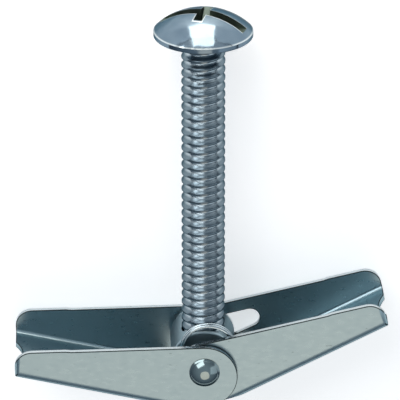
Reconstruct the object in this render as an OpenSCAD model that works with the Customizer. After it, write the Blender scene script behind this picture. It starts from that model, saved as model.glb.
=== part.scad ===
// Spring toggle bolt: a domed machine screw, the trunnion nut that runs on it, two
// folding sheet wings and the torsion spring that opens them.
// It lies on its side. The screw runs along Y with its head at +Y, the wings spread
// along X, and the pivot of the wings stands along Z. The origin is under the head,
// on the screw's axis. Lengths are in millimetres and angles in degrees.

/* [Screw] */
// Outer diameter of the thread
thread_d = 6.2; // [4.5:0.1:8]
// Distance from one crest of the thread to the next
thread_pitch = 1.27; // [1:0.01:1.6]
// Depth of the thread
thread_depth = 0.55; // [0.3:0.05:0.8]
// Length of the screw under its head
screw_l = 50.8; // [45:0.1:100]
// Length of the plain neck between the head and the thread
neck_l = 0.5; // [0.2:0.1:1]
// Length of the chamfer at the end of the thread
end_chamfer = 0.8; // [0.2:0.1:1.5]
// Diameter of the head
head_d = 14; // [11:0.1:18]
// Height of the domed head
head_h = 3.5; // [2.8:0.1:5]
// Radius of the rolled edge of the head
head_edge_r = 0.45; // [0.2:0.05:0.7]

/* [Drive] */
// Width of the driver slot
slot_w = 1.8; // [1:0.1:2.4]
// Depth of the driver slot under the top of the dome
slot_depth = 2.1; // [1:0.1:2.5]
// Turn of the slot about the screw's axis
slot_angle = -20; // [-90:1:90]
// Reach of the cross recess from tip to tip at the top of the dome
cross_d = 5.6; // [3:0.1:7]
// Width of each arm of the cross recess
cross_w = 1.3; // [0.8:0.1:1.8]
// Depth of the cross recess under the top of the dome
cross_depth = 3; // [1.5:0.1:4]
// Diameter of the blunt bottom of the cross recess
cross_floor_d = 1.6; // [0.8:0.1:2.4]

/* [Trunnion nut] */
// Length of screw past the pivot of the wings
screw_past = 1.6; // [-1:0.1:10]
// Diameter of the nut's barrel
barrel_d = 9.3; // [8:0.1:11]
// Chamfer on the rims of the barrel
barrel_chamfer = 0.3; // [0.1:0.05:0.6]
// Thinnest wall between the thread and the spring
nut_wall = 0.35; // [0.2:0.05:1]
// Diameter of the pivot pins
pin_d = 2; // [1.6:0.1:3]
// Diameter of the peened heads of the pins
pin_head_d = 4.35; // [3.8:0.05:5.5]
// Height of the peened heads
pin_head_h = 0.9; // [0.5:0.05:1.2]
// Diameter of the flat on the peened heads
pin_flat_d = 1.2; // [0.8:0.1:3]

/* [Wings] */
// Thickness of the sheet
sheet_t = 0.85; // [0.6:0.05:1.2]
// Inside radius of the folds
fold_r = 0.6; // [0.3:0.05:1]
// Distance from the pivot to the tip of a wing
wing_l = 27; // [22:0.1:35]
// Reach of the ears past the nut's barrel
ear_margin = 0.05; // [0:0.05:0.6]
// Drop of the ears' middle under the pivot
ear_drop = 0.8; // [0:0.1:1.2]
// Depth of the flange at the tip
tip_depth = 4.1; // [3.4:0.1:5]
// Slope of the web against the edge of the flange
web_slope = 14; // [10:0.5:17]
// Distance from the pivot to the start of the web
web_start = 4.9; // [4.6:0.1:7]
// Radius of the corner at the tip of a flange
tip_r = 2.4; // [1:0.1:2.6]
// Width of the notch in the end of the web
notch_w = 6.2; // [4:0.1:8]
// Depth of the notch in the end of the web
notch_depth = 1; // [0.4:0.1:1.4]
// Reach of the assembly slot in the narrow wing, from the pivot to its round end
relief_l = 8.7; // [6:0.1:11]
// Width of the assembly slot at its end
relief_end_w = 2.8; // [2:0.1:3.4]
// Width of the assembly slot beside the pin
relief_root_w = 4; // [3:0.1:4.6]
// Gap between the assembly slot and the edge of the flange
relief_edge = 1.8; // [1.2:0.1:2.4]
// Height of the wide wing's tip over level, as an angle
wide_open = -1.3; // [-4:0.1:10]
// Height of the narrow wing's tip over level, as an angle
narrow_open = 13.6; // [4:0.1:20]

/* [Spring] */
// Diameter of the spring wire
wire_d = 0.55; // [0.4:0.05:0.8]
// Outside diameter of the coil
coil_d = 8.1; // [7:0.1:9]
// Full turns in the coil
coil_turns = 2; // [1:1:3]
// Lean of the coil's middle from the screw's axis
coil_lean = 15; // [-20:1:20]
// Distance from the pivot at which the legs press on the webs
leg_reach = 10; // [8:0.1:14]

/* [Fits] */
// Radial clearance of the thread in the nut
thread_gap = 0.05; // [0.02:0.01:0.1]
// Radial clearance of the pins in the ears
pin_gap = 0.05; // [0.02:0.01:0.1]
// Side clearance between the flanges of the two wings
wing_gap = 0.15; // [0.1:0.05:0.4]
// Clearance beside the coil, between its turns and under its legs
coil_gap = 0.05; // [0.02:0.01:0.1]
// Clearance at the ends of the barrel and under the peened heads
end_gap = 0.1; // [0.05:0.05:0.3]

/* [Hidden] */
$fn = 64;
overrun = 1;
thread_sides = 16;
crest_share = 0.3;
wire_sides = 10;
step_angle = 15;

thread_r = thread_d / 2;
pivot_drop = screw_l - screw_past;
ear_r = barrel_d / 2 + ear_margin;
edge_h = ear_r - ear_drop;
pin_r = pin_d / 2;
hole_r = pin_r + pin_gap;
wire_r = wire_d / 2;

// The thread starts a turn under the screw's end and stops two turns over the origin
thread_turns = ceil(screw_l / thread_pitch) + 1;
thread_steps = (thread_turns + 2) * thread_sides;

// Corners of the thread over one pitch, as a share of it and a radius: both sides of the
// crest, then the root
thread_form = [
    [-crest_share / 2, thread_r],
    [crest_share / 2, thread_r],
    [1 / 2, thread_r - thread_depth]
];
thread_rows = len(thread_form);

function thread_corner(step, row) =
    let (turn = step / thread_sides, place = thread_form[row])
    [
        place[1] * cos(360 * turn),
        place[1] * sin(360 * turn),
        thread_pitch * (turn + place[0] - thread_turns)
    ];

// The thread is one strip, and its upper edge is its own lower edge one turn later
function thread_index(step, row) =
    row == thread_rows ? thread_index(step + thread_sides, 0)
    : step > thread_steps ? (thread_steps + 1) * thread_rows + step - thread_steps - 1
    : step * thread_rows + row;

// The rolled edge of the head is tangent to the dome
rim_x = head_d / 2 - head_edge_r;
rim_rise = head_h - head_edge_r;
dome_r = (rim_x * rim_x + rim_rise * rim_rise - head_edge_r * head_edge_r)
    / (2 * (rim_rise - head_edge_r));
dome_edge_x = rim_x * dome_r / (dome_r - head_edge_r);

// The peened head is a slice of a ball between its rim and its flat
pin_ball_drop = (pow(pin_head_d / 2, 2) - pow(pin_flat_d / 2, 2) - pin_head_h * pin_head_h)
    / (2 * pin_head_h);
pin_ball_r = norm([pin_head_d / 2, pin_ball_drop]);

// The notch is a shallow arc
notch_r = (notch_w * notch_w / 4 + notch_depth * notch_depth) / (2 * notch_depth);

// Height of the web's outside over the pivot, at a distance along the wing
function web_y(x) = edge_h - tip_depth - (wing_l - x) * tan(web_slope);

// The coil hangs on the pin, with its middle over the pivot
coil_r = (coil_d - wire_d) / 2;
coil_hang = coil_r - wire_r - pin_r - coil_gap;
coil_middle = coil_hang * [sin(coil_lean), cos(coil_lean)];

// Where a leg meets the inside of a web, in the wing's own frame
leg_foot = [leg_reach, web_y(leg_reach) + (sheet_t + coil_gap + wire_r) / cos(web_slope)];

function turned(p, a) = [p[0] * cos(a) - p[1] * sin(a), p[0] * sin(a) + p[1] * cos(a)];
function bearing(p) = atan2(p[1], p[0]);
function on_coil(a) = coil_middle + coil_r * [cos(a), sin(a)];

// The legs leave the coil along its tangents at the bottom
wide_foot = turned([-leg_foot[0], leg_foot[1]], -wide_open);
narrow_foot = turned(leg_foot, narrow_open);
wide_lead = acos(coil_r / norm(wide_foot - coil_middle));
narrow_lead = acos(coil_r / norm(narrow_foot - coil_middle));
coil_from = (bearing(wide_foot - coil_middle) + 360) % 360 + wide_lead - 360;
coil_to = bearing(narrow_foot - coil_middle) - narrow_lead + 360 * coil_turns;
coil_steps = round((coil_to - coil_from) / step_angle);

// The widths grow outwards from the screw: nut wall, coil, narrow wing, wide wing
coil_pitch = wire_d + coil_gap;
barrel_near = thread_r + thread_gap + nut_wall;
coil_back = barrel_near + coil_gap + wire_r;
coil_front = coil_back + coil_pitch * (coil_to - coil_from) / 360;
narrow_in = coil_front + wire_r + coil_gap;
narrow_w = 2 * (narrow_in + sheet_t);
wide_w = narrow_w + 2 * (wing_gap + sheet_t);
barrel_far = narrow_in - end_gap;

// Stands its children's own Z axis along the screw, towards the head
module along_screw() {
    rotate([-90, 0, 0]) children();
}

module at_pivot() {
    translate([0, -pivot_drop, 0]) children();
}

module head_profile() {
    translate([rim_x, head_edge_r]) circle(r = head_edge_r);
    square([rim_x, 2 * head_edge_r]);
    intersection() {
        translate([0, head_h - dome_r]) circle(r = dome_r, $fn = 4 * $fn);
        translate([0, head_edge_r]) square([dome_edge_x, head_h]);
    }
}

// Four arms that taper to a blunt floor
module cross_recess() {
    intersection() {
        translate([0, 0, head_h - cross_depth])
            cylinder(r1 = cross_floor_d / 2, r2 = cross_d / 2, h = cross_depth);
        for (turn = [0, 90])
            rotate([0, 0, turn])
                translate([-cross_d / 2, -cross_w / 2, 0])
                    cube([cross_d, cross_w, head_h + overrun]);
    }
}

module drive() {
    rotate([0, 0, slot_angle]) {
        translate([-head_d / 2, -slot_w / 2, head_h - slot_depth])
            cube([head_d, slot_w, slot_depth + overrun]);
        cross_recess();
    }
}

// A right-hand thread as one strip wound up the shank, past both of its ends
module rolled_thread() {
    strip = [
        for (step = [0:thread_steps])
            for (row = [0:thread_rows - 1]) thread_corner(step, row)
    ];
    upper_edge = [for (i = [1:thread_sides]) thread_corner(thread_steps + i, 0)];
    middles = [for (step = [0, thread_steps + thread_sides]) [0, 0, thread_corner(step, 0)[2]]];
    corners = concat(strip, upper_edge, middles);
    sides = [
        for (step = [0:thread_steps - 1])
            for (row = [0:thread_rows - 1])
                [
                    thread_index(step, row),
                    thread_index(step, row + 1),
                    thread_index(step + 1, row + 1),
                    thread_index(step + 1, row)
                ]
    ];
    start = concat(
        [for (i = [0:thread_sides]) thread_index(i, 0)],
        [for (row = [thread_rows - 1:-1:1]) thread_index(0, row)]
    );
    end = concat(
        [for (row = [0:thread_rows - 1]) thread_index(thread_steps, row)],
        [for (i = [thread_sides:-1:1]) thread_index(thread_steps + i, 0)]
    );
    caps = [
        for (cap = [[start, len(corners) - 2], [end, len(corners) - 1]])
            let (rim = cap[0])
            for (i = [0:len(rim) - 1]) [rim[i], rim[(i + 1) % len(rim)], cap[1]]
    ];
    polyhedron(corners, concat(sides, caps));
}

// The room that the shank takes: chamfered at its end and sunk into the head
module shank_room() {
    rotate_extrude() polygon([
        [0, -screw_l],
        [thread_r - end_chamfer, -screw_l],
        [thread_r + overrun, end_chamfer + overrun - screw_l],
        [thread_r + overrun, head_edge_r],
        [0, head_edge_r]
    ]);
}

module machine_screw() {
    color("lightsteelblue") along_screw() difference() {
        union() {
            rotate_extrude() head_profile();
            intersection() {
                shank_room();
                rolled_thread();
            }
            translate([0, 0, -neck_l])
                cylinder(r = thread_r + thread_gap, h = neck_l + head_edge_r);
        }
        drive();
    }
}

module barrel() {
    rim_r = barrel_d / 2 - barrel_chamfer;
    rotate_extrude() polygon([
        [0, -barrel_far],
        [rim_r, -barrel_far],
        [barrel_d / 2, barrel_chamfer - barrel_far],
        [barrel_d / 2, barrel_near - barrel_chamfer],
        [rim_r, barrel_near],
        [0, barrel_near]
    ]);
}

module peened_head() {
    intersection() {
        cylinder(d = pin_head_d, h = pin_head_h);
        translate([0, 0, -pin_ball_drop]) sphere(r = pin_ball_r);
    }
}

module trunnion_nut() {
    head_at = wide_w / 2 + end_gap;
    color("slategray") at_pivot() difference() {
        union() {
            barrel();
            cylinder(r = pin_r, h = 2 * head_at + pin_head_h, center = true);
            for (side = [0, 1])
                mirror([0, 0, side]) translate([0, 0, head_at]) peened_head();
        }
        along_screw() cylinder(r = thread_r + thread_gap, h = 2 * barrel_d, center = true);
    }
}

// A slab with its two lower edges rounded, drawn across the wing
module rounded_floor(w, r) {
    depth = wing_l;
    translate([-w / 2, r]) square([w, depth]);
    translate([r - w / 2, 0]) square([w - 2 * r, depth]);
    for (side = [-1, 1])
        translate([side * (w / 2 - r), r]) circle(r = r);
}

// The folded sheet before its sides are cut, along the sloping web
module channel(w) {
    translate([0, web_y(0), 0]) rotate([0, 90, web_slope])
        translate([0, 0, -wing_l]) linear_extrude(height = 3 * wing_l) difference() {
            rounded_floor(w, fold_r + sheet_t);
            translate([0, sheet_t]) rounded_floor(w - 2 * sheet_t, fold_r);
        }
}

// The side of a wing through its whole width: round ear, straight edge and rounded tip
module flange_sides(w) {
    low = web_y(0) - overrun;
    translate([0, -ear_drop, 0]) cylinder(r = ear_r, h = w, center = true);
    translate([wing_l - tip_r, edge_h - tip_r, 0]) cylinder(r = tip_r, h = w, center = true);
    linear_extrude(height = w, center = true) polygon([
        [0, edge_h],
        [wing_l - tip_r, edge_h],
        [wing_l - tip_r, edge_h - tip_r],
        [wing_l, edge_h - tip_r],
        [wing_l, low],
        [web_start, low],
        [web_start, web_y(web_start)],
        [0, -ear_drop - ear_r]
    ]);
}

module wing(w) {
    difference() {
        intersection() {
            channel(w);
            flange_sides(w + 2 * overrun);
        }
        cylinder(r = hole_r, h = w + 2 * overrun, center = true);
        translate([-ear_r - overrun, -2 * ear_r, sheet_t - w / 2])
            cube([ear_r + overrun + web_start, 4 * ear_r, w - 2 * sheet_t]);
        translate([wing_l - notch_depth + notch_r, 0, 0]) rotate([90, 0, 0])
            cylinder(r = notch_r, h = 4 * ear_r, center = true);
    }
}

// The slot that lets the nut tilt into the narrow wing's lower flange: two round ends
// with straight sides along them both
module assembly_slot() {
    end_r = relief_end_w / 2;
    root_r = relief_root_w / 2;
    end_at = [relief_l - end_r, edge_h - relief_edge - end_r];
    root_at = [root_r, edge_h - relief_edge - root_r];
    lean = bearing(end_at - root_at);
    spread = acos((root_r - end_r) / norm(end_at - root_at));
    over = [cos(lean + spread), sin(lean + spread)];
    under = [cos(lean - spread), sin(lean - spread)];
    cut_h = sheet_t + 2 * overrun;
    translate([0, 0, -narrow_w / 2 - overrun]) {
        translate(root_at) cylinder(r = root_r, h = cut_h);
        translate(end_at) cylinder(r = end_r, h = cut_h);
        linear_extrude(height = cut_h) polygon([
            root_at + root_r * over,
            end_at + end_r * over,
            end_at + end_r * under,
            root_at + root_r * under
        ]);
    }
}

module wide_wing() {
    color("lightgray") at_pivot()
        rotate([0, 0, -wide_open]) mirror([1, 0, 0]) wing(wide_w);
}

module narrow_wing() {
    color("gainsboro") at_pivot() rotate([0, 0, narrow_open]) difference() {
        wing(narrow_w);
        assembly_slot();
    }
}

// A round wire through a list of points: a ring of corners square to the run at each
// point, joined to the next ring, with a flat cap at both ends
module wire(points) {
    last = len(points) - 1;
    runs = [for (i = [0:last]) points[min(i + 1, last)] - points[max(i - 1, 0)]];
    corners = [
        for (i = [0:last])
            let (run = runs[i] / norm(runs[i]),
                 out = cross(run, [0, 0, 1]) / norm(cross(run, [0, 0, 1])),
                 up = cross(out, run))
            for (k = [0:wire_sides - 1])
                let (a = 360 * k / wire_sides)
                points[i] + wire_r * (cos(a) * out + sin(a) * up)
    ];
    sides = [
        for (i = [0:last - 1])
            for (k = [0:wire_sides - 1])
                let (next = (k + 1) % wire_sides)
                [
                    i * wire_sides + k,
                    i * wire_sides + next,
                    (i + 1) * wire_sides + next,
                    (i + 1) * wire_sides + k
                ]
    ];
    start_cap = [for (k = [wire_sides - 1:-1:0]) k];
    end_cap = [for (k = [0:wire_sides - 1]) last * wire_sides + k];
    polyhedron(corners, concat(sides, [start_cap, end_cap]));
}

module torsion_spring() {
    turns = [
        for (i = [0:coil_steps])
            let (share = i / coil_steps, a = coil_from + (coil_to - coil_from) * share)
            concat(on_coil(a), coil_front + (coil_back - coil_front) * share)
    ];
    color("darkgray") at_pivot()
        wire(concat([concat(wide_foot, coil_front)], turns, [concat(narrow_foot, coil_back)]));
}

machine_screw();
trunnion_nut();
wide_wing();
narrow_wing();
torsion_spring();
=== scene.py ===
import math

import bmesh
import bpy
from mathutils import Matrix, Vector


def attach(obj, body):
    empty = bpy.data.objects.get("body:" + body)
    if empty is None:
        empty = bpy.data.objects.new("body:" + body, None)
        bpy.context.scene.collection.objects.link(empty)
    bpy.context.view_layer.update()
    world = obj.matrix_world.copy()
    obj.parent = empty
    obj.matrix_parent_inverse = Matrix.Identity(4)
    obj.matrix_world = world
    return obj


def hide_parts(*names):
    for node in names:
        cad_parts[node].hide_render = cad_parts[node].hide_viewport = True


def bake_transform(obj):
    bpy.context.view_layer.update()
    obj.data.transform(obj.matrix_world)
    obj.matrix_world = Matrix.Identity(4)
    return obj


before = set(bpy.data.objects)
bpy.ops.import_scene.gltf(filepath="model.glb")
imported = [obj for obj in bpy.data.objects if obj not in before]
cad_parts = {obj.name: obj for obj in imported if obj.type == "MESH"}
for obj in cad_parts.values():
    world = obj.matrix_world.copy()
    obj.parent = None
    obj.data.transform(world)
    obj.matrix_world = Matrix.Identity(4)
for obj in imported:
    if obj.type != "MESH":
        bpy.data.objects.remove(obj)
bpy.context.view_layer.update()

# Machine screw: a 1/4-20 steel screw, 2 in long under its mushroom head, zinc plated.
# The head is cold headed with its slot and cross recess, and the thread is rolled on right up
# to the head. It is drawn upright, in millimetres, and then laid along the part's Y.
MM = 0.001
THREAD_R = 3.1
ROOT_R = 2.55
PITCH = 1.27
SCREW_L = 50.8
END_CHAMFER = 0.8
NECK_L = 0.5
NECK_R = 3.12
HEAD_R = 7.0
HEAD_H = 3.5
HEAD_EDGE_R = 0.45
RIM_ROUND_R = 0.12
CREASE_R = 6.97
SLOT_W = 1.8
SLOT_DEPTH = 2.1
DRIVE_TURN = math.radians(-20)
CROSS_D = 5.6
CROSS_W = 1.3
CROSS_DEPTH = 3.0
CROSS_FLOOR_D = 1.6
OVERRUN = 1
ALONG_SCREW = Matrix(((1, 0, 0), (0, 0, 1), (0, -1, 0))).to_4x4()
HEAD_SIDES = 128
RIM_STEPS = 6
DOME_STEPS = 24
TAPER_SIDES = 48
THREAD_COLUMNS = 80
SPARE_TURNS = 3
ON_AXIS = 1e-6
SHARP_ANGLE = math.radians(32)
# The rolled form, as shares of a turn and of the thread's depth: a narrow crest, a long flank
# worn back on the side of the head, a flat root and a steep flank
THREAD_FORM_SHARES = [
    (0.0, 1.0), (0.07, 0.99), (0.12, 0.93), (0.33, 0.48), (0.53, 0.04), (0.57, 0.0),
    (0.66, 0.0), (0.7, 0.06), (0.87, 0.93), (0.92, 0.99),
]


def mesh_object(name, bm, at=Matrix.Identity(4)):
    """An object from a closed mesh that was drawn in millimetres, moved to its place."""
    bmesh.ops.recalc_face_normals(bm, faces=bm.faces)
    mesh = bpy.data.meshes.new(name)
    bm.to_mesh(mesh)
    bm.free()
    mesh.transform(at)
    made = bpy.data.objects.new(name, mesh)
    bpy.context.scene.collection.objects.link(made)
    return made


def settle(made, *modifiers):
    """Adds modifiers, each a kind with its settings, and keeps their result as the mesh."""
    for kind, settings in modifiers:
        added = made.modifiers.new(kind.lower(), kind)
        for key, value in settings.items():
            setattr(added, key, value)
    shaped = made.evaluated_get(bpy.context.evaluated_depsgraph_get())
    made.data = bpy.data.meshes.new_from_object(shaped)
    made.modifiers.clear()
    return made


def carve(made, operation, *tools):
    """Cuts, joins or trims a piece with each tool solid in turn, and clears the tools away."""
    for tool in tools:
        settle(made, ("BOOLEAN", {"operation": operation, "solver": "EXACT", "object": tool}))
        bpy.data.objects.remove(tool)
    return made


def angles_round(sides):
    """The angles at which the corners of a round form lie."""
    return [2 * math.pi * k / sides for k in range(sides)]


def turned(name, profile, sides):
    """A lathe form about Z from (radius, height) points; it starts and ends on the axis."""
    bm = bmesh.new()
    rings = []
    for radius, height in profile:
        if radius < ON_AXIS:
            rings.append([bm.verts.new((0, 0, height))] * sides)
            continue
        rings.append([
            bm.verts.new((radius * math.cos(a), radius * math.sin(a), height))
            for a in angles_round(sides)
        ])
    for low, high in zip(rings, rings[1:]):
        for k in range(sides):
            corners = dict.fromkeys((low[k - 1], low[k], high[k], high[k - 1]))
            bm.faces.new(corners)
    return mesh_object(name, bm)


def prism(name, outline, low, high, at=Matrix.Identity(4)):
    """A flat outline in X and Y, drawn out along Z from low to high."""
    bm = bmesh.new()
    bottom = [bm.verts.new((x, y, low)) for x, y in outline]
    top = [bm.verts.new((x, y, high)) for x, y in outline]
    bm.faces.new(bottom)
    bm.faces.new(top)
    for k in range(len(outline)):
        bm.faces.new((bottom[k - 1], bottom[k], top[k], top[k - 1]))
    return mesh_object(name, bm, at)


def arc(centre, radius, start, end, steps):
    """Points along a circle's arc between two angles in degrees."""
    angles = (math.radians(start + (end - start) * k / steps) for k in range(steps + 1))
    return [(centre[0] + radius * math.cos(a), centre[1] + radius * math.sin(a)) for a in angles]


def rectangle(x, y):
    """The corners of a rectangle about the origin."""
    return [(-x / 2, -y / 2), (x / 2, -y / 2), (x / 2, y / 2), (-x / 2, y / 2)]


def thread_radius(height_share, depth):
    """Radius of the thread form at a depth under the head, which is below zero there. It fades
    into the plain neck under the head and into the chamfer at the screw's end."""
    radius = ROOT_R + (THREAD_R - ROOT_R) * height_share
    fade = min(1, max(0, (depth + 2 * NECK_L) / NECK_L))
    radius += (NECK_R - radius) * fade * fade * (3 - 2 * fade)
    return min(radius, THREAD_R - END_CHAMFER + max(0, depth + SCREW_L))


def rolled_thread():
    """Rows that follow the helix: each column starts a little higher than the last."""
    rows_a_turn = len(THREAD_FORM_SHARES)
    turns = math.ceil(SCREW_L / PITCH) + SPARE_TURNS
    bm = bmesh.new()
    columns = []
    for column in range(THREAD_COLUMNS):
        around = column / THREAD_COLUMNS
        angle = 2 * math.pi * around
        line = []
        for row in range(rows_a_turn * (turns + 1)):
            turn_share, height_share = THREAD_FORM_SHARES[row % rows_a_turn]
            depth = (row // rows_a_turn + turn_share + around - turns + 1) * PITCH
            radius = thread_radius(height_share, depth)
            line.append(bm.verts.new((radius * math.cos(angle), radius * math.sin(angle), depth)))
        columns.append(line)
    rows = rows_a_turn * turns
    for column, near in enumerate(columns):
        last = column == THREAD_COLUMNS - 1
        far = columns[0][rows_a_turn:] if last else columns[column + 1]
        for row in range(rows - 1):
            bm.faces.new((near[row], far[row], far[row + 1], near[row + 1]))
    for height, side in ((HEAD_EDGE_R, 1), (-SCREW_L, -1)):
        cut = bmesh.ops.bisect_plane(
            bm, geom=bm.verts[:] + bm.edges[:] + bm.faces[:], plane_co=(0, 0, height),
            plane_no=(0, 0, side), clear_outer=True)
        open_rim = [edge for edge in cut["geom_cut"] if isinstance(edge, bmesh.types.BMEdge)]
        bmesh.ops.holes_fill(bm, edges=open_rim)
    bmesh.ops.delete(bm, geom=[v for v in bm.verts if not v.link_faces], context="VERTS")
    return mesh_object("screw_thread", bm)


def place(made, where):
    """Puts a finished piece into the part's frame, in metres, with its creases kept sharp."""
    made.data.transform(Matrix.Scale(MM, 4) @ where)
    if where.is_negative:
        made.data.flip_normals()
    made.data.shade_smooth()
    made.data.set_sharp_from_angle(angle=SHARP_ANGLE)
    return settle(made, ("WEIGHTED_NORMAL", {"keep_sharp": True}))


def linear(hex_colour):
    """An sRGB hex colour as the linear values that a shader works in."""
    shares = [int(hex_colour[k:k + 2], 16) / 255 for k in (1, 3, 5)]
    return tuple(s / 12.92 if s <= 0.04045 else ((s + 0.055) / 1.055) ** 2.4 for s in shares) + (1,)


def add(tree, kind, settings=None, **links):
    """Adds a node. Each link names a socket, with _ for a space, or numbers it as i0, i1 and so
    on where sockets share a name, and gives it a value or another node's output."""
    made = tree.nodes.new(kind)
    for key, value in (settings or {}).items():
        setattr(made, key, value)
    for key, value in links.items():
        numbered = key[0] == "i" and key[1:].isdigit()
        socket = made.inputs[int(key[1:]) if numbered else key.replace("_", " ")]
        if isinstance(value, bpy.types.NodeSocket):
            tree.links.new(value, socket)
        else:
            socket.default_value = value
    return made


def per_metre(millimetres):
    """Scale of a pattern whose marks are that many millimetres apart."""
    return 1 / (millimetres * MM)


EDGE_TINT = "#8C979C"
PIT_COLOUR = "#4E5858"
# The noise levels at which a pit begins and is full, how much of its colour a full one shows,
# the noise levels between which the grain goes from smooth to rough, and the grain's depth
PIT_FROM = 0.7
PIT_FULL = 0.76
PIT_SHARE = 0.4
GRAIN_LOW = 0.3
GRAIN_HIGH = 0.7
GRAIN_RELIEF = 0.02


def plated(name, low, high, cloud_mm, grain_mm, pit_mm, smooth, rough, bump, stretch=(1, 1, 1)):
    """Zinc plate on steel. Clouds of the passivation tint it from low to high. The grain of the
    steel under it, stretched along the way it was worked, takes its roughness from smooth to
    rough, and small dark pits lie in it. Its reflection falls off where it is seen edge on."""
    # The real grain and pits are finer than a pixel, so they are drawn coarse enough to show.
    finish = bpy.data.materials.new(name)
    finish.use_nodes = True
    tree = finish.node_tree
    shader = tree.nodes["Principled BSDF"]
    shader.inputs["Metallic"].default_value = 1
    shader.inputs["Specular Tint"].default_value = linear(EDGE_TINT)
    where = add(tree, "ShaderNodeTexCoord").outputs["Object"]
    clouds = add(tree, "ShaderNodeTexNoise", Vector=where, Scale=per_metre(cloud_mm), Detail=3.0)
    tint = add(tree, "ShaderNodeMix", {"data_type": "RGBA"}, i0=clouds.outputs["Fac"],
               i6=linear(low), i7=linear(high))
    along = add(tree, "ShaderNodeMapping", Vector=where, Scale=stretch).outputs["Vector"]
    grain = add(tree, "ShaderNodeTexNoise", Vector=along, Scale=per_metre(grain_mm), Detail=4.0,
                Roughness=0.6)
    specks = add(tree, "ShaderNodeTexNoise", Vector=along, Scale=per_metre(pit_mm), Detail=2.0)
    pits = add(tree, "ShaderNodeMapRange", Value=specks.outputs["Fac"], From_Min=PIT_FROM,
               From_Max=PIT_FULL, To_Min=0.0, To_Max=PIT_SHARE)
    pitted = add(tree, "ShaderNodeMix", {"data_type": "RGBA"}, i0=pits.outputs["Result"],
                 i6=tint.outputs[2], i7=linear(PIT_COLOUR))
    tree.links.new(pitted.outputs[2], shader.inputs["Base Color"])
    gloss = add(tree, "ShaderNodeMapRange", Value=grain.outputs["Fac"], From_Min=GRAIN_LOW,
                From_Max=GRAIN_HIGH, To_Min=smooth, To_Max=rough)
    tree.links.new(gloss.outputs["Result"], shader.inputs["Roughness"])
    relief = add(tree, "ShaderNodeBump", Strength=bump, Distance=GRAIN_RELIEF * MM,
                 Height=grain.outputs["Fac"])
    tree.links.new(relief.outputs["Normal"], shader.inputs["Normal"])
    return finish


# Bright zinc on cold headed steel: a mirror-like dome with soft ripples, a little cooler
# than bare steel from the clear blue passivation.
RIPPLE_MM = 2.2
RIPPLE_H = 0.1
bright_zinc = plated("bright_zinc_on_headed_steel", low="#5E7282", high="#8C9DA8", cloud_mm=4.0,
                     grain_mm=0.5, pit_mm=1.2, smooth=0.1, rough=0.18, bump=0.06)
tree = bright_zinc.node_tree
on_head = add(tree, "ShaderNodeTexCoord").outputs["Object"]
facing = tree.nodes["Principled BSDF"].inputs["Normal"]
ripples = add(tree, "ShaderNodeTexNoise", Vector=on_head, Scale=per_metre(RIPPLE_MM), Detail=1.0)
rippled = add(tree, "ShaderNodeBump", Strength=1.0, Distance=RIPPLE_H * MM,
              Height=ripples.outputs["Fac"], Normal=facing.links[0].from_socket)
tree.links.new(rippled.outputs["Normal"], facing)
# Round the recess and along the corner of the rim, a painted highlight: a pale band in the base colour
# stands in for the light that these corners catch.
EDGE_HIGHLIGHT_COLOUR = "#CBD4D6"
RECESS_HIGHLIGHT_W = 0.13
RIM_HIGHLIGHT_W = 0.2
RIM_H = 0.66
base_colour = tree.nodes["Principled BSDF"].inputs["Base Color"]
squared = add(tree, "ShaderNodeMapping", Vector=on_head, Rotation=(0, -DRIVE_TURN, 0))
folded = add(tree, "ShaderNodeVectorMath", {"operation": "ABSOLUTE"}, i0=squared.outputs["Vector"])
off_drive = add(tree, "ShaderNodeSeparateXYZ", Vector=folded.outputs["Vector"])
off_slot = add(tree, "ShaderNodeMath", {"operation": "SUBTRACT"}, i0=off_drive.outputs["Z"],
               i1=SLOT_W / 2 * MM)
off_end = add(tree, "ShaderNodeMath", {"operation": "SUBTRACT"}, i0=off_drive.outputs["Z"],
              i1=CROSS_D / 2 * MM)
off_arm = add(tree, "ShaderNodeMath", {"operation": "SUBTRACT"}, i0=off_drive.outputs["X"],
              i1=CROSS_W / 2 * MM)
off_cross = add(tree, "ShaderNodeMath", {"operation": "MAXIMUM"}, i0=off_end.outputs[0],
                i1=off_arm.outputs[0])
off_recess = add(tree, "ShaderNodeMath", {"operation": "MINIMUM"}, i0=off_slot.outputs[0],
                 i1=off_cross.outputs[0])
off_corner = add(tree, "ShaderNodeMath", {"operation": "ABSOLUTE"}, i0=off_recess.outputs[0])
near_corner = add(tree, "ShaderNodeMapRange", Value=off_corner.outputs[0],
                  From_Min=RECESS_HIGHLIGHT_W / 2 * MM, From_Max=RECESS_HIGHLIGHT_W * MM, To_Min=1.0, To_Max=0.0)
over_floor = add(tree, "ShaderNodeMath", {"operation": "GREATER_THAN"}, i0=off_drive.outputs["Y"],
                 i1=(HEAD_H - SLOT_DEPTH) * MM)
recess_highlight = add(tree, "ShaderNodeMath", {"operation": "MULTIPLY"}, i0=near_corner.outputs["Result"],
                   i1=over_floor.outputs[0])
across_head = add(tree, "ShaderNodeVectorMath", {"operation": "MULTIPLY"}, i0=squared.outputs["Vector"],
                  i1=(1, 0, 1))
off_middle = add(tree, "ShaderNodeVectorMath", {"operation": "LENGTH"}, i0=across_head.outputs["Vector"])
near_rim = add(tree, "ShaderNodeMapRange", Value=off_middle.outputs["Value"],
               From_Min=(CREASE_R - RIM_HIGHLIGHT_W) * MM, From_Max=(CREASE_R - RIM_HIGHLIGHT_W / 2) * MM,
               To_Min=0.0, To_Max=1.0)
over_rim = add(tree, "ShaderNodeMath", {"operation": "GREATER_THAN"}, i0=off_drive.outputs["Y"],
               i1=RIM_H * MM)
rim_highlight = add(tree, "ShaderNodeMath", {"operation": "MULTIPLY"}, i0=near_rim.outputs["Result"],
                i1=over_rim.outputs[0])
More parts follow.
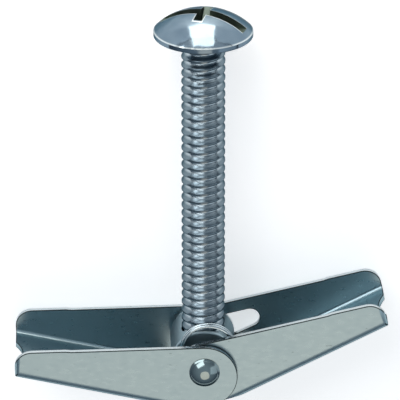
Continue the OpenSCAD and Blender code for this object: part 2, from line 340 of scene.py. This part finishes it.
# Painted highlight mask: the pale band round the recess and on the rim's corner.
painted_highlight = add(tree, "ShaderNodeMath", {"operation": "MAXIMUM"}, i0=recess_highlight.outputs[0],
             i1=rim_highlight.outputs[0])
highlighted = add(tree, "ShaderNodeMix", {"data_type": "RGBA"}, i0=painted_highlight.outputs[0],
            i6=base_colour.links[0].from_socket, i7=linear(EDGE_HIGHLIGHT_COLOUR))
tree.links.new(highlighted.outputs[2], base_colour)
# Zinc in the punched recess: the plate is thin and dull there, with a grey-green cast.
recess_zinc = plated("dull_zinc_in_punched_recess", low="#5A6660", high="#727C72", cloud_mm=1.5,
                     grain_mm=0.5, pit_mm=3.0, smooth=0.32, rough=0.44, bump=0.03)
# Zinc on the rolled thread: the dies leave it satin and a little paler than the head.
# Its roots get a painted highlight, a pale colour that shows them as thin bright lines.
ROOT_HIGHLIGHT_COLOUR = "#B4C0C6"
ROOT_HIGHLIGHT_H = 0.25
thread_zinc = plated("satin_zinc_on_rolled_thread", low="#6A7880", high="#788790", cloud_mm=2.5,
                     grain_mm=0.4, pit_mm=1.0, smooth=0.18, rough=0.28, bump=0.06)
tree = thread_zinc.node_tree
base_colour = tree.nodes["Principled BSDF"].inputs["Base Color"]
across_thread = add(tree, "ShaderNodeVectorMath", {"operation": "MULTIPLY"},
                    i0=add(tree, "ShaderNodeTexCoord").outputs["Object"], i1=(1, 0, 1))
off_axis = add(tree, "ShaderNodeVectorMath", {"operation": "LENGTH"}, i0=across_thread.outputs["Vector"])
# Painted highlight mask: pale at the root radius, fading out above it.
root_highlight = add(tree, "ShaderNodeMapRange", Value=off_axis.outputs["Value"], From_Min=ROOT_R * MM,
           From_Max=(ROOT_R + ROOT_HIGHLIGHT_H) * MM, To_Min=1.0, To_Max=0.0)
root_highlighted = add(tree, "ShaderNodeMix", {"data_type": "RGBA"}, i0=root_highlight.outputs["Result"],
             i6=base_colour.links[0].from_socket, i7=linear(ROOT_HIGHLIGHT_COLOUR))
tree.links.new(root_highlighted.outputs[2], base_colour)

rim_x = HEAD_R - HEAD_EDGE_R
rim_rise = HEAD_H - HEAD_EDGE_R
dome_r = (rim_x**2 + rim_rise**2 - HEAD_EDGE_R**2) / (2 * (rim_rise - HEAD_EDGE_R))
dome_middle = HEAD_H - dome_r
crease_turn = math.degrees(math.acos(CREASE_R / dome_r))
machine_screw = turned(
    "machine_screw_threaded",
    [(0, 0)] + arc((HEAD_R - RIM_ROUND_R, RIM_ROUND_R), RIM_ROUND_R, -90, 0, RIM_STEPS)
    + arc((0, dome_middle), dome_r, crease_turn, 90, DOME_STEPS)[:-1] + [(0, HEAD_H)], HEAD_SIDES)
screw_finishes = (bright_zinc, recess_zinc, thread_zinc)
for finish in screw_finishes:
    machine_screw.data.materials.append(finish)
turn_drive = Matrix.Rotation(DRIVE_TURN, 4, "Z")
over_head = 2 * HEAD_H
past_head = 3 * HEAD_R
arm, half_w = CROSS_D / 2, CROSS_W / 2
quarter = [(arm, -half_w), (arm, half_w), (half_w, half_w)]
cross_floor = HEAD_H - CROSS_DEPTH
cross = prism("cross_arms", [
    (x * c - y * s, x * s + y * c)
    for c, s in ((1, 0), (0, 1), (-1, 0), (0, -1)) for x, y in quarter
], cross_floor, over_head, turn_drive)
cross_flare = (CROSS_D - CROSS_FLOOR_D) / (2 * CROSS_DEPTH)
carve(cross, "INTERSECT", turned("cross_taper", [
    (0, cross_floor), (CROSS_FLOOR_D / 2, cross_floor),
    (CROSS_D / 2 + cross_flare * OVERRUN, HEAD_H + OVERRUN), (0, HEAD_H + OVERRUN)], TAPER_SIDES))
slot = prism("driver_slot", rectangle(past_head, SLOT_W), HEAD_H - SLOT_DEPTH, over_head, turn_drive)
carve(machine_screw, "DIFFERENCE", slot, cross)
carve(machine_screw, "UNION", rolled_thread())
RECESS_CORNER_H = 0.1
THREAD_FINISH_TOP = -0.2
for face in machine_screw.data.polygons:
    off_axis_mm = min(face.center.xy.length, rim_x)
    under_dome = dome_middle + math.sqrt(dome_r**2 - off_axis_mm**2) - face.center.z
    inside_rim = off_axis_mm < rim_x and face.center.z > HEAD_EDGE_R
    if face.center.z < THREAD_FINISH_TOP:
        face.material_index = screw_finishes.index(thread_zinc)
    elif inside_rim and under_dome > RECESS_CORNER_H:
        face.material_index = screw_finishes.index(recess_zinc)
place(machine_screw, ALONG_SCREW)
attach(machine_screw, "screw")
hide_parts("machine_screw")

# Trunnion nut: a short steel barrel, turned with a pin at each end and drilled and tapped
# across for the screw. The pins are peened over outside the wings, which closes the hinge.
PIVOT_Y = -49.2
BARREL_R = 4.65
BARREL_NEAR = 3.5
BARREL_FAR = 5.238
BARREL_RIM_R = 0.3
PIN_R = 1.0
PIN_HEAD_R = 2.175
PIN_HEAD_H = 0.9
PIN_HEAD_AT = 7.288
PIN_FLAT_R = 0.6
PIN_BALL_R = 2.8
PIN_FOOT_H = 0.1
BORE_R = 3.15
BORE_REACH = 3 * BORE_R
NUT_SIDES = 72
BORE_SIDES = 64
PIN_STEPS = 12
BARREL_RIM_STEPS = 4

pin_middle = PIN_HEAD_H - math.sqrt(PIN_BALL_R**2 - PIN_FLAT_R**2)
pin_slope = math.degrees(math.asin((PIN_FOOT_H - pin_middle) / PIN_BALL_R))
pin_top = math.degrees(math.acos(PIN_FLAT_R / PIN_BALL_R))
pin_dome = [(PIN_HEAD_R, 0)] + arc((0, pin_middle), PIN_BALL_R, pin_slope, pin_top, PIN_STEPS)
near_side = (
    arc((BARREL_R - BARREL_RIM_R, BARREL_NEAR - BARREL_RIM_R), BARREL_RIM_R, 0, 90, BARREL_RIM_STEPS)
    + [(PIN_R, BARREL_NEAR), (PIN_R, PIN_HEAD_AT)]
    + [(r, PIN_HEAD_AT + h) for r, h in pin_dome] + [(0, PIN_HEAD_AT + PIN_HEAD_H)])
far_side = (
    [(0, -PIN_HEAD_AT - PIN_HEAD_H)] + [(r, -PIN_HEAD_AT - h) for r, h in reversed(pin_dome)]
    + [(PIN_R, -PIN_HEAD_AT), (PIN_R, -BARREL_FAR)]
    + arc((BARREL_R - BARREL_RIM_R, BARREL_RIM_R - BARREL_FAR), BARREL_RIM_R, -90, 0, BARREL_RIM_STEPS))
trunnion_nut = turned("trunnion_nut_peened", far_side + near_side, NUT_SIDES)
nut_bore = turned("nut_bore", [
    (0, -BORE_REACH), (BORE_R, -BORE_REACH), (BORE_R, BORE_REACH), (0, BORE_REACH)], BORE_SIDES)
nut_bore.data.transform(ALONG_SCREW)
carve(trunnion_nut, "DIFFERENCE", nut_bore)
pivot = Matrix.Translation((0, PIVOT_Y, 0))
place(trunnion_nut, pivot)
# Zinc on turned steel: satin, with the faint rings that the lathe tool left round the barrel.
turned_zinc = plated("zinc_on_turned_steel", low="#A2B6BE", high="#AEC0C6", cloud_mm=2.0,
                     grain_mm=0.35, pit_mm=1.0, smooth=0.34, rough=0.48, bump=0.08, stretch=(1, 1, 6))
# Zinc on the peened heads: burnished by the punch, so it mirrors the room sharply.
peened_zinc = plated("zinc_on_peened_steel", low="#8A9B9E", high="#9CABAA", cloud_mm=1.5,
                     grain_mm=0.4, pit_mm=1.0, smooth=0.1, rough=0.18, bump=0.08)
nut_finishes = (turned_zinc, peened_zinc)
for finish in nut_finishes:
    trunnion_nut.data.materials.append(finish)
for face in trunnion_nut.data.polygons:
    if abs(face.center.z) > PIN_HEAD_AT * MM:
        face.material_index = nut_finishes.index(peened_zinc)
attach(trunnion_nut, "nut")
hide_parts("trunnion_nut")

# Wings: two channels pressed from steel sheet, each with a pair of ears on the pins. The
# narrow one nests inside the wide one when both fold. The sheet is cut, folded and plated.
SHEET_T = 0.85
FOLD_R = 0.6
WING_L = 27.0
EAR_R = 4.7
EAR_DROP = 0.8
EDGE_H = EAR_R - EAR_DROP
TIP_DEPTH = 4.1
WEB_SLOPE = math.radians(14)
WEB_START = 4.9
TIP_R = 2.4
TIP_CORNER_R = 0.8
NOTCH_W = 6.2
NOTCH_DEPTH = 1.0
HOLE_R = 1.05
WIDE_W = 14.376
NARROW_W = 12.376
RELIEF_L = 8.7
RELIEF_END_R = 1.4
RELIEF_ROOT_R = 2.0
RELIEF_EDGE = 1.8
STEP_AT = 18.9
STEP_H = 0.1
STEP_RUN = 0.8
WIDE_OPEN = math.radians(-1.3)
NARROW_OPEN = math.radians(13.6)
FOLD_STEPS = 8
EAR_STEPS = 48
TIP_STEPS = 16
TIP_CORNER_STEPS = 8
RELIEF_STEPS = 24
HOLE_SIDES = 48
NOTCH_SIDES = 120
# The cut that frees the ears from the web stays this far off the flanges, for a clean mesh
ROOT_SHY = 0.03


def web_y(x):
    """Height of the web's outer face over the pivot."""
    return EDGE_H - TIP_DEPTH - (WING_L - x) * math.tan(WEB_SLOPE)


def circle(radius, sides):
    """Points round a whole circle."""
    return arc((0, 0), radius, 0, 360 - 360 / sides, sides - 1)


def folded_wing(name, width):
    """A wing along +X about its pivot on Z: the folded channel, trimmed to the side's outline."""
    outer, inner = width / 2, width / 2 - SHEET_T
    bend = FOLD_R + SHEET_T
    deep = 2 * WING_L
    section = (
        [(-outer, deep)] + arc((bend - outer, bend), bend, 180, 270, FOLD_STEPS)
        + arc((outer - bend, bend), bend, 270, 360, FOLD_STEPS) + [(outer, deep), (inner, deep)]
        + arc((inner - FOLD_R, SHEET_T + FOLD_R), FOLD_R, 0, -90, FOLD_STEPS)
        + arc((FOLD_R - inner, SHEET_T + FOLD_R), FOLD_R, -90, -180, FOLD_STEPS) + [(-inner, deep)])
    lie = (Matrix.Translation((0, web_y(0), 0)) @ Matrix.Rotation(WEB_SLOPE, 4, "Z")
           @ Matrix.Rotation(math.pi / 2, 4, "Y"))
    wing = prism(name, section, -WING_L, deep, lie)
    low = web_y(0) - OVERRUN
    outline = (
        arc((0, -EAR_DROP), EAR_R, 270, 90, EAR_STEPS)
        + [(STEP_AT, EDGE_H), (STEP_AT + STEP_RUN, EDGE_H + STEP_H)]
        + arc((WING_L - TIP_R, EDGE_H + STEP_H - TIP_R), TIP_R, 90, 0, TIP_STEPS)
        + [(WING_L, low), (WEB_START, low), (WEB_START, web_y(WEB_START))])
    carve(wing, "INTERSECT", prism("wing_side", outline, -width, width))
    from_above = Matrix.Rotation(math.pi / 2, 4, "X")
    notch_r = (NOTCH_W**2 / 4 + NOTCH_DEPTH**2) / (2 * NOTCH_DEPTH)
    at_tip = Matrix.Translation((WING_L - NOTCH_DEPTH + notch_r, 0, 0)) @ from_above
    root = rectangle(2 * WEB_START, 4 * EAR_R)
    carve(wing, "DIFFERENCE",
          prism("wing_root", root, ROOT_SHY - inner, inner - ROOT_SHY),
          prism("pin_hole", circle(HOLE_R, HOLE_SIDES), -width, width),
          prism("tip_notch", circle(notch_r, NOTCH_SIDES), -WING_L, WING_L, at_tip))
    tip_x, tip_z = WING_L - TIP_CORNER_R, outer - TIP_CORNER_R
    corner = (arc((tip_x, tip_z), TIP_CORNER_R, 0, 90, TIP_CORNER_STEPS)
              + [(tip_x, width), (deep, width), (deep, tip_z)])
    for side in (1, -1):
        trimmed = [(x, side * z) for x, z in corner]
        carve(wing, "DIFFERENCE", prism("tip_corner", trimmed, -WING_L, WING_L, from_above))
    return wing


# Zinc on cold rolled sheet: satin, with faint drawn-out streaks along the wing and pale
# clouds of passivation.
sheet_zinc = plated("zinc_on_cold_rolled_sheet", low="#98AEB6", high="#9FB4BA", cloud_mm=9.0,
                    grain_mm=0.6, pit_mm=0.45, smooth=0.26, rough=0.34, bump=0.04, stretch=(0.5, 1, 1))
# Zinc on the sheared edge, coloured pale as a painted highlight along the cut edges.
edge_highlight_zinc = plated("painted_highlight_on_sheared_edge", low="#D6DEE0", high="#E2E8E8", cloud_mm=2.0,
                      grain_mm=0.3, pit_mm=2.0, smooth=0.2, rough=0.3, bump=0.04)
# Zinc on the rolled-over corner of the cut: dull, and coloured dark as painted shade along the corner.
edge_shade_zinc = plated("painted_shade_on_rolled_over_corner", low="#3A4244", high="#485254", cloud_mm=2.0,
                     grain_mm=0.3, pit_mm=2.0, smooth=0.3, rough=0.4, bump=0.04)
wing_finishes = (sheet_zinc, edge_highlight_zinc, edge_shade_zinc)
CORNER_W = 0.12
CORNER_SEGMENTS = 2
CORNER_ANGLE = math.radians(40)
ROOT_CLEAR = 0.6
MERGE_WITHIN = 0.01
FLAT_ANGLE = math.radians(1)
# How far the normal of a cut face may lean toward the web's normal, and toward a flange's
WEB_LEAN = 0.3
FLANGE_LEAN = 0.05


def sheared(wing, width):
    """Gives the cut edges of a wing their own finish, which is a painted highlight, and breaks their
    corners, but for those at the foot of the ears, where the web begins; the broken corners get painted
    shade."""
    bm = bmesh.new()
    bm.from_mesh(wing.data)
    bmesh.ops.remove_doubles(bm, verts=bm.verts, dist=MERGE_WITHIN)
    bmesh.ops.dissolve_limit(bm, angle_limit=FLAT_ANGLE, verts=bm.verts, edges=bm.edges)
    broken = bm.edges.layers.float.new("bevel_weight_edge")
    for edge in bm.edges:
        at_root = any(abs(v.co.x - WEB_START) < ROOT_CLEAR and v.co.y < -EDGE_H for v in edge.verts)
        edge[broken] = float(edge.calc_face_angle(0) > CORNER_ANGLE and not at_root)
    bm.to_mesh(wing.data)
    bm.free()
    for finish in wing_finishes:
        wing.data.materials.append(finish)
    for face in wing.data.polygons:
        on_flange = abs(face.center.z) > width / 2 - SHEET_T
        across_web = abs(face.normal.y) < WEB_LEAN
        # The cut faces get the painted highlight.
        if abs(face.normal.z) < FLANGE_LEAN and (on_flange or across_web):
            face.material_index = wing_finishes.index(edge_highlight_zinc)
    # The broken corners get the painted shade as a dark band.
    return settle(wing, ("BEVEL", {
        "width": CORNER_W, "segments": CORNER_SEGMENTS, "limit_method": "WEIGHT",
        "material": wing_finishes.index(edge_shade_zinc), "use_clamp_overlap": False}))


wide_wing = folded_wing("wide_wing_pressed", WIDE_W)
narrow_wing = folded_wing("narrow_wing_pressed", NARROW_W)
# The far flange of the narrow wing has a tapered relief slot, round at both ends
relief_end = Vector((RELIEF_L - RELIEF_END_R, EDGE_H - RELIEF_EDGE - RELIEF_END_R))
relief_root = Vector((RELIEF_ROOT_R, EDGE_H - RELIEF_EDGE - RELIEF_ROOT_R))
relief_run = relief_end - relief_root
relief_lean = math.degrees(math.atan2(relief_run.y, relief_run.x))
relief_spread = math.degrees(math.acos((RELIEF_ROOT_R - RELIEF_END_R) / relief_run.length))
relief_from, relief_to = relief_lean - relief_spread, relief_lean + relief_spread
relief = (arc(relief_end, RELIEF_END_R, relief_from, relief_to, RELIEF_STEPS)
          + arc(relief_root, RELIEF_ROOT_R, relief_to, relief_from + 360, RELIEF_STEPS))
carve(narrow_wing, "DIFFERENCE", prism("relief_slot", relief, -NARROW_W, 0))
place(sheared(wide_wing, WIDE_W),
      pivot @ Matrix.Rotation(-WIDE_OPEN, 4, "Z") @ Matrix.Scale(-1, 4, (1, 0, 0)))
place(sheared(narrow_wing, NARROW_W), pivot @ Matrix.Rotation(NARROW_OPEN, 4, "Z"))
for wing, body, cad_node in (
        (wide_wing, "outer_wing", "wide_wing"), (narrow_wing, "inner_wing", "narrow_wing")):
    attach(wing, body)
    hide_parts(cad_node)

# Torsion spring: two turns of drawn spring wire on the near pin. Each leg lies on a web and pushes its wing
# open;
# the wire is drawn in two halves, each from the coil to the wing it pushes.
WIRE_R = 0.275
COIL_R = 3.775
COIL_TURNS = 2
COIL_LEAN = math.radians(15)
COIL_GAP = 0.05
LEG_REACH = 10.0
WIRE_SIDES = 16
TURN_STEPS = 72
LEG_STEPS = 24
FULL_TURN = 2 * math.pi


def about(point, angle):
    """A point turned about the pivot."""
    return Vector((point[0] * math.cos(angle) - point[1] * math.sin(angle),
                   point[0] * math.sin(angle) + point[1] * math.cos(angle)))


def wire(name, path):
    """A round wire along a path of points, closed by a flat cap at both ends."""
    bm = bmesh.new()
    rings = []
    last = len(path) - 1
    for i, point in enumerate(path):
        run = (path[min(i + 1, last)] - path[max(i - 1, 0)]).normalized()
        out = run.cross(Vector((0, 0, 1))).normalized()
        up = out.cross(run)
        rings.append([
            bm.verts.new(point + WIRE_R * (math.cos(a) * out + math.sin(a) * up))
            for a in angles_round(WIRE_SIDES)
        ])
    for near, far in zip(rings, rings[1:]):
        for k in range(WIRE_SIDES):
            bm.faces.new((near[k - 1], near[k], far[k], far[k - 1]))
    bm.faces.new(rings[0])
    bm.faces.new(rings[-1])
    return mesh_object(name, bm)


coil_hang = COIL_R - WIRE_R - PIN_R - COIL_GAP
coil_middle = coil_hang * Vector((math.sin(COIL_LEAN), math.cos(COIL_LEAN)))
leg_foot = (LEG_REACH, web_y(LEG_REACH) + (SHEET_T + COIL_GAP + WIRE_R) / math.cos(WEB_SLOPE))
wide_foot = about((-leg_foot[0], leg_foot[1]), -WIDE_OPEN)
narrow_foot = about(leg_foot, NARROW_OPEN)
to_wide, to_narrow = wide_foot - coil_middle, narrow_foot - coil_middle
wide_way = math.atan2(to_wide.y, to_wide.x) % FULL_TURN
narrow_way = math.atan2(to_narrow.y, to_narrow.x)
coil_from = wide_way + math.acos(COIL_R / to_wide.length) - FULL_TURN
coil_to = narrow_way - math.acos(COIL_R / to_narrow.length) + FULL_TURN * COIL_TURNS
coil_back = BARREL_NEAR + COIL_GAP + WIRE_R
coil_front = coil_back + (2 * WIRE_R + COIL_GAP) * (coil_to - coil_from) / FULL_TURN


def coil_point(share):
    """A point on the coil's middle line, from its front end at 0 to its back end at 1."""
    a = coil_from + (coil_to - coil_from) * share
    flat = coil_middle + COIL_R * Vector((math.cos(a), math.sin(a)))
    return Vector((flat.x, flat.y, coil_front + (coil_back - coil_front) * share))


half_steps = round((coil_to - coil_from) / FULL_TURN * TURN_STEPS / 2)
front_start, back_end = coil_point(0), coil_point(1)
wide_tip = Vector((wide_foot.x, wide_foot.y, coil_front))
narrow_tip = Vector((narrow_foot.x, narrow_foot.y, coil_back))
front_half = wire("spring_wide_leg", [wide_tip.lerp(front_start, k / LEG_STEPS) for k in range(LEG_STEPS)]
                  + [coil_point(0.5 * k / half_steps) for k in range(half_steps + 1)])
back_half = wire("spring_narrow_leg", [coil_point(0.5 + 0.5 * k / half_steps) for k in range(half_steps + 1)]
                 + [back_end.lerp(narrow_tip, k / LEG_STEPS) for k in range(1, LEG_STEPS + 1)])
# Zinc on drawn wire: bright along its length, where the die polished it.
wire_zinc = plated("zinc_on_drawn_spring_wire", low="#B4C2C8", high="#C2CED2", cloud_mm=1.5,
                   grain_mm=0.3, pit_mm=1.0, smooth=0.12, rough=0.22, bump=0.06)
for half, body, leave, foot in (
        (front_half, "outer_wing", front_start, wide_tip), (back_half, "inner_wing", back_end, narrow_tip)):
    place(half, pivot)
    half.data.materials.append(wire_zinc)
    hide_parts("torsion_spring")
    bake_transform(half)

# Stage: a white card floor under the toggle where it lies, soft boxes round it and the camera,
# which looks down on it with a long lens so that the screw's head is at the top.
FLOOR_Z = -8.25
FLOOR_HALF = 1000
FLOOR_CELLS = 8
FLOOR_GLOW = 0.5
AIM = Vector((-0.46, -25.4, 0)) * MM
HEAD_AIM = Vector((0, 2, 4)) * MM
CAMERA_AWAY = 620 * MM
CAMERA_SIDE = math.radians(-1.5)
CAMERA_RISE = math.radians(25)
CAMERA_NEAR = 10 * MM
FRAME_ACROSS = 56.7 * MM
SENSOR = 36.0
ROOM_LOW = "#465462"
ROOM_HIGH = "#A4B0BA"

floor_mesh = bmesh.new()
bmesh.ops.create_grid(floor_mesh, x_segments=FLOOR_CELLS, y_segments=FLOOR_CELLS, size=FLOOR_HALF)
floor = mesh_object("floor", floor_mesh)
floor.data.transform(Matrix.Scale(MM, 4) @ Matrix.Translation((0, 0, FLOOR_Z)))
# White card: matt, with a glow that only the camera and the mirrors of the part see, so that
# it renders white and still keeps the shadow.
white_card = bpy.data.materials.new("white_card")
white_card.use_nodes = True
tree = white_card.node_tree
tree.nodes.clear()
path = add(tree, "ShaderNodeLightPath")
in_view = add(tree, "ShaderNodeMath", {"operation": "MAXIMUM"}, i0=path.outputs["Is Camera Ray"],
              i1=path.outputs["Is Glossy Ray"])
seen = add(tree, "ShaderNodeMath", {"operation": "MAXIMUM"}, i0=in_view.outputs[0],
           i1=path.outputs["Is Transmission Ray"])
card = add(tree, "ShaderNodeBsdfDiffuse", Color=linear("#F4F4F4"))
glow = add(tree, "ShaderNodeEmission", Color=linear("#FFFFFF"), Strength=FLOOR_GLOW)
lifted = add(tree, "ShaderNodeAddShader", i0=card.outputs[0], i1=glow.outputs[0])
mixed = add(tree, "ShaderNodeMixShader", i0=seen.outputs[0], i1=card.outputs[0], i2=lifted.outputs[0])
add(tree, "ShaderNodeOutputMaterial", Surface=mixed.outputs[0])
floor.data.materials.append(white_card)

toward = Vector((math.cos(CAMERA_RISE) * math.sin(CAMERA_SIDE), math.sin(CAMERA_RISE),
                 math.cos(CAMERA_RISE) * math.cos(CAMERA_SIDE)))
lens = bpy.data.cameras.new("camera")
lens.sensor_width = SENSOR
lens.lens = SENSOR * CAMERA_AWAY / FRAME_ACROSS
lens.clip_start = CAMERA_NEAR
camera = bpy.data.objects.new("camera", lens)
bpy.context.scene.collection.objects.link(camera)
side = Vector((0, 1, 0)).cross(toward).normalized()
camera.matrix_world = Matrix((side, toward.cross(side), toward)).transposed().to_4x4()
camera.location = AIM + toward * CAMERA_AWAY
bpy.context.scene.camera = camera

# Soft boxes, each with its place, aim, width, height, level and tint. The front box lights the
# near flanges, the right and top boxes fill the thread, the key and stripe boxes give it its
# bright streak, and a small card close to the head puts the white patch on the dome.
for name, where, aim, width, height, level, tint in (
        ("front_box", (30, -255, 430), AIM, 280, 330, 0.96, "#FFE7CE"),
        ("right_box", (400, -60, 260), AIM, 360, 400, 0.5, "#F4FAFF"),
        ("key_box", (-200, 250, 345), AIM, 400, 220, 2.4, "#FFFFFF"),
        ("top_box", (-30, 440, 150), AIM, 1300, 280, 0.66, "#FFFFFF"),
        ("stripe_box", (-242, 318, 108), AIM, 130, 130, 3.2, "#FFFFFF"),
        ("head_card", (-1, 25, 2), HEAD_AIM, 16, 22, 5.0, "#FFF2E4")):
    box = bpy.data.lights.new(name, "AREA")
    box.shape = "RECTANGLE"
    box.size, box.size_y = width * MM, height * MM
    box.energy = level * math.pi * box.size * box.size_y
    box.color = linear(tint)[:3]
    lamp = bpy.data.objects.new(name, box)
    bpy.context.scene.collection.objects.link(lamp)
    lamp.location = Vector(where) * MM
    lamp.rotation_euler = (lamp.location - aim).to_track_quat("Z", "Y").to_euler()

world = bpy.data.worlds.new("studio")
bpy.context.scene.world = world
world.use_nodes = True
tree = world.node_tree
up = add(tree, "ShaderNodeSeparateXYZ", Vector=add(tree, "ShaderNodeTexCoord").outputs["Generated"])
room = add(tree, "ShaderNodeMix", {"data_type": "RGBA"}, i0=up.outputs["Z"], i6=linear(ROOM_LOW),
           i7=linear(ROOM_HIGH))
tree.links.new(room.outputs[2], tree.nodes["Background"].inputs["Color"])
bpy.context.scene.view_settings.view_transform = "Standard"
